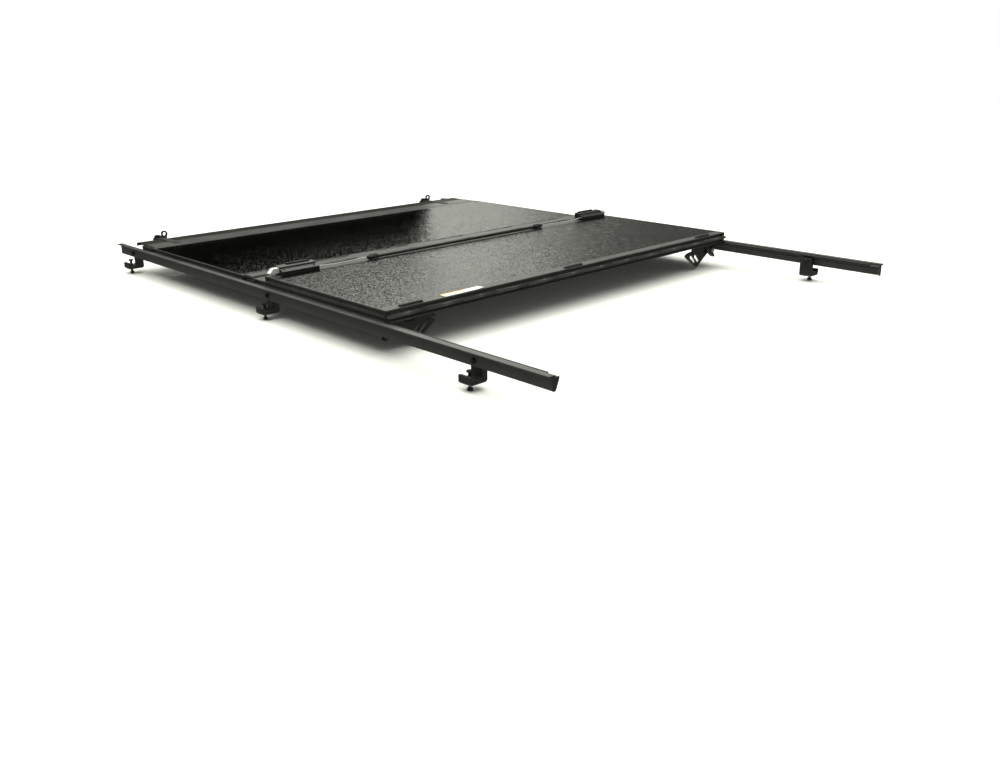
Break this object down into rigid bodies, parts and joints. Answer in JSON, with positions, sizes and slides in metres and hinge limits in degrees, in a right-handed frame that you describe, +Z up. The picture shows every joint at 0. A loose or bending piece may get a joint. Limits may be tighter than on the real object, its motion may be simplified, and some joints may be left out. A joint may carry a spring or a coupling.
{
  "type": "tonneau cover",
  "caption": "Hard tri-fold pickup bed cover: sandwich panels on clamped side rails, folding on piano hinges, with slam latches, release cable and rotary mid clamps.",
  "frame": {"origin": "centre of the header rail's lower rest face, on the plane of the bed caps, midway between the side rails", "axes": "+Y forward towards the cab, +X to the vehicle's right, +Z up"},
  "size_m": [1.576, 2.091, 0.15],
  "materials": {
    "black_extrusion": "black powder-coated aluminium extrusion, satin",
    "panel_skin": "black FRP sheet with a pebbled grain, semi-gloss",
    "foam_core": "rigid foam, not seen",
    "black_rubber": "EPDM rubber, matt",
    "black_plastic": "moulded glass-filled nylon, satin",
    "black_casting": "die-cast aluminium, black coated",
    "black_fasteners": "black oxide steel",
    "steel": "plain stainless steel",
    "bright_bolt": "bright zinc plate",
    "steel_cable": "stranded steel wire rope",
    "strap_webbing": "woven polyester webbing, black",
    "label": "blank white label with a yellow edge"
  },
  "bodies": {
    "bed_frame": {"left_side_rail": "black_extrusion", "right_side_rail": "black_extrusion", "left_rail_seal": "black_rubber", "right_rail_seal": "black_rubber", "rail_end_caps": "black_plastic", "header_rail": "black_extrusion", "header_corner_brackets": "black_plastic", "bulkhead_seal": "black_rubber", "rail_clamp_bodies": "black_casting", "rail_clamp_bolts": "black_fasteners", "rail_clamp_set_screws": "black_fasteners", "stow_straps": "strap_webbing", "stow_strap_buckles": "black_plastic", "front_panel_hold_downs": "black_casting", "front_panel_top_skin": "panel_skin", "front_panel_bottom_skin": "panel_skin", "front_panel_core": "foam_core", "front_panel_front_rail": "black_extrusion", "front_panel_rear_rail": "black_extrusion", "front_panel_left_rail": "black_extrusion", "front_panel_right_rail": "black_extrusion", "front_panel_corner_brackets": "black_plastic", "front_panel_end_caps": "black_plastic"},
    "link": {"hinge_link": "black_extrusion", "hinge_link_gasket": "black_rubber", "link_hinge_pins": "steel"},
    "mid_panel": {"mid_panel_top_skin": "panel_skin", "mid_panel_bottom_skin": "panel_skin", "mid_panel_core": "foam_core", "mid_panel_front_rail": "black_extrusion", "mid_panel_rear_rail": "black_extrusion", "mid_panel_left_rail": "black_extrusion", "mid_panel_right_rail": "black_extrusion", "mid_panel_corner_brackets": "black_plastic", "mid_panel_end_caps": "black_plastic", "rear_hinge_pin": "steel", "mid_clamp_brackets": "black_casting", "mid_clamp_pivots": "steel"},
    "clamp_lever_left": {"mid_clamp_lever_left": "black_plastic"},
    "clamp_lever_right": {"mid_clamp_lever_right": "black_plastic"},
    "rear_panel": {"rear_panel_top_skin": "panel_skin", "rear_panel_bottom_skin": "panel_skin", "rear_panel_core": "foam_core", "rear_panel_hinge_rail": "black_extrusion", "rear_panel_tail_rail": "black_extrusion", "rear_panel_left_rail": "black_extrusion", "rear_panel_right_rail": "black_extrusion", "rear_panel_corner_brackets": "black_plastic", "rear_panel_end_caps": "black_plastic", "tailgate_seal": "black_rubber", "latch_housings": "black_plastic", "latch_spring_left": "steel", "latch_spring_right": "steel", "release_cable": "steel_cable", "cable_conduit": "black_plastic", "conduit_clips": "black_plastic", "hinge_bumpers": "black_rubber", "info_label": "label"},
    "bolt_left": {"latch_bolt_left": "bright_bolt"},
    "bolt_right": {"latch_bolt_right": "bright_bolt"}
  },
  "joints": [
    {"name": "link_fold", "type": "hinge", "parent": "bed_frame", "child": "link", "pos_m": [0, -0.642, 0.0145], "axis": [-1, 0, 0], "range_deg": [0, 90]},
    {"name": "mid_fold", "type": "hinge", "parent": "link", "child": "mid_panel", "pos_m": [0, -0.692, 0.0145], "axis": [-1, 0, 0], "range_deg": [0, 90]},
    {"name": "rear_fold", "type": "hinge", "parent": "mid_panel", "child": "rear_panel", "pos_m": [0, -1.329, 0.0145], "axis": [1, 0, 0], "range_deg": [0, 180]},
    {"name": "latch_left", "type": "slide", "parent": "rear_panel", "child": "bolt_left", "axis": [1, 0, 0], "range_m": [0, 0.012], "deforming": ["latch_spring_left"]},
    {"name": "latch_right", "type": "slide", "parent": "rear_panel", "child": "bolt_right", "axis": [-1, 0, 0], "range_m": [0, 0.012], "deforming": ["latch_spring_right"]},
    {"name": "clamp_left", "type": "hinge", "parent": "mid_panel", "child": "clamp_lever_left", "pos_m": [-0.706, -1.291, -0.026], "axis": [0, 1, 0], "range_deg": [-5, 61]},
    {"name": "clamp_right", "type": "hinge", "parent": "mid_panel", "child": "clamp_lever_right", "pos_m": [0.706, -1.291, -0.026], "axis": [0, -1, 0], "range_deg": [-5, 61]}
  ],
  "couplings": [
    {"joint": "mid_fold", "follows": "link_fold", "ratio": 1},
    {"joint": "latch_right", "follows": "latch_left", "ratio": 1}
  ]
}
